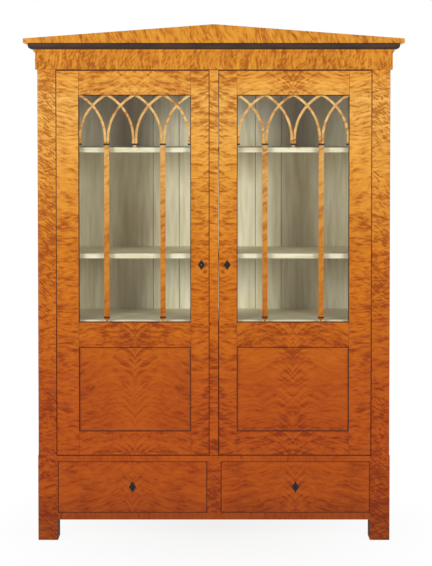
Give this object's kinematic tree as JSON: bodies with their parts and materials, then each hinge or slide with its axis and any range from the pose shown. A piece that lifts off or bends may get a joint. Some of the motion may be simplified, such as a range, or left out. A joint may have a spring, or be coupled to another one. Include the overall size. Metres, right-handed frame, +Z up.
{
  "type": "display cabinet",
  "caption": "Two-part cabinet with pitched crown, glazed doors with pointed-arch tracery, shelves, panels below and drawers in the base.",
  "frame": {"origin": "middle of the cabinet's bounding box, on the floor", "axes": "+Z up, -Y to the viewer who stands before the doors, +X to that viewer's right"},
  "size_m": [1.534, 0.481, 2.1],
  "materials": {
    "figured_birch": "french-polished flame birch veneer",
    "tracery_birch": "polished birch strips",
    "ebonised": "ebonised and polished wood",
    "painted_interior": "grey-white brushed paint on pine",
    "plain_pine": "bare planed pine",
    "glass": "clear old window glass",
    "horn": "dark polished horn",
    "iron": "worn iron"
  },
  "bodies": {
    "carcass": {"base_stiles": "figured_birch", "base_sides": "figured_birch", "foot_blocks": "figured_birch", "base_bottom_rail": "figured_birch", "base_divider": "figured_birch", "base_bottom_board": "plain_pine", "base_back": "plain_pine", "base_top_rails": "figured_birch", "drawer_guides": "plain_pine", "upper_stiles": "figured_birch", "upper_sides": "figured_birch", "upper_bottom_board": "painted_interior", "upper_top_board": "plain_pine", "frieze": "figured_birch", "cornice_moulding": "ebonised", "pediment": "figured_birch", "crown_returns": "figured_birch", "back_stiles": "painted_interior", "back_rails": "painted_interior", "back_panels": "painted_interior", "shelf_upper": "painted_interior", "shelf_middle": "painted_interior", "shelf_lower": "painted_interior", "shelf_cleats": "painted_interior", "door_pivots": "iron"},
    "left_door": {"left_door_outer_stile": "figured_birch", "left_door_meeting_stile": "figured_birch", "left_door_rails": "figured_birch", "left_door_panel": "figured_birch", "left_door_glass": "glass", "left_door_tracery": "tracery_birch", "left_door_collars": "ebonised", "left_door_escutcheon": "horn", "left_door_closing_strip": "figured_birch", "left_door_lock_case": "iron"},
    "left_drawer": {"left_drawer_front": "figured_birch", "left_drawer_sides": "plain_pine", "left_drawer_back": "plain_pine", "left_drawer_bottom": "plain_pine", "left_drawer_escutcheon": "horn", "left_drawer_lock_case": "iron"},
    "right_door": {"right_door_outer_stile": "figured_birch", "right_door_meeting_stile": "figured_birch", "right_door_rails": "figured_birch", "right_door_panel": "figured_birch", "right_door_glass": "glass", "right_door_tracery": "tracery_birch", "right_door_collars": "ebonised", "right_door_escutcheon": "horn"},
    "right_drawer": {"right_drawer_front": "figured_birch", "right_drawer_sides": "plain_pine", "right_drawer_back": "plain_pine", "right_drawer_bottom": "plain_pine", "right_drawer_escutcheon": "horn", "right_drawer_lock_case": "iron"},
    "left_door_lock_bolt": {"left_door_lock_bolt": "iron"},
    "right_door_upper_bolt": {"right_door_upper_bolt": "iron"},
    "right_door_lower_bolt": {"right_door_lower_bolt": "iron"},
    "left_drawer_lock_bolt": {"left_drawer_lock_bolt": "iron"},
    "right_drawer_lock_bolt": {"right_drawer_lock_bolt": "iron"}
  },
  "joints": [
    {"name": "left_door_hinge", "type": "hinge", "parent": "carcass", "child": "left_door", "pos_m": [-0.628, -0.1835, 1.1335], "axis": [0, 0, -1], "range_deg": [0, 110]},
    {"name": "right_door_hinge", "type": "hinge", "parent": "carcass", "child": "right_door", "pos_m": [0.628, -0.1835, 1.1335], "axis": [0, 0, 1], "range_deg": [0, 110]},
    {"name": "left_drawer_slide", "type": "slide", "parent": "carcass", "child": "left_drawer", "axis": [0, -1, 0], "range_m": [0, 0.3]},
    {"name": "right_drawer_slide", "type": "slide", "parent": "carcass", "child": "right_drawer", "axis": [0, -1, 0], "range_m": [0, 0.3]},
    {"name": "left_door_lock", "type": "slide", "parent": "left_door", "child": "left_door_lock_bolt", "axis": [1, 0, 0], "range_m": [0, 0.009]},
    {"name": "right_door_upper_bolt_slide", "type": "slide", "parent": "right_door", "child": "right_door_upper_bolt", "axis": [0, 0, 1], "range_m": [0, 0.012]},
    {"name": "right_door_lower_bolt_slide", "type": "slide", "parent": "right_door", "child": "right_door_lower_bolt", "axis": [0, 0, -1], "range_m": [0, 0.01]},
    {"name": "left_drawer_lock", "type": "slide", "parent": "left_drawer", "child": "left_drawer_lock_bolt", "axis": [0, 0, 1], "range_m": [0, 0.008]},
    {"name": "right_drawer_lock", "type": "slide", "parent": "right_drawer", "child": "right_drawer_lock_bolt", "axis": [0, 0, 1], "range_m": [0, 0.008]}
  ]
}
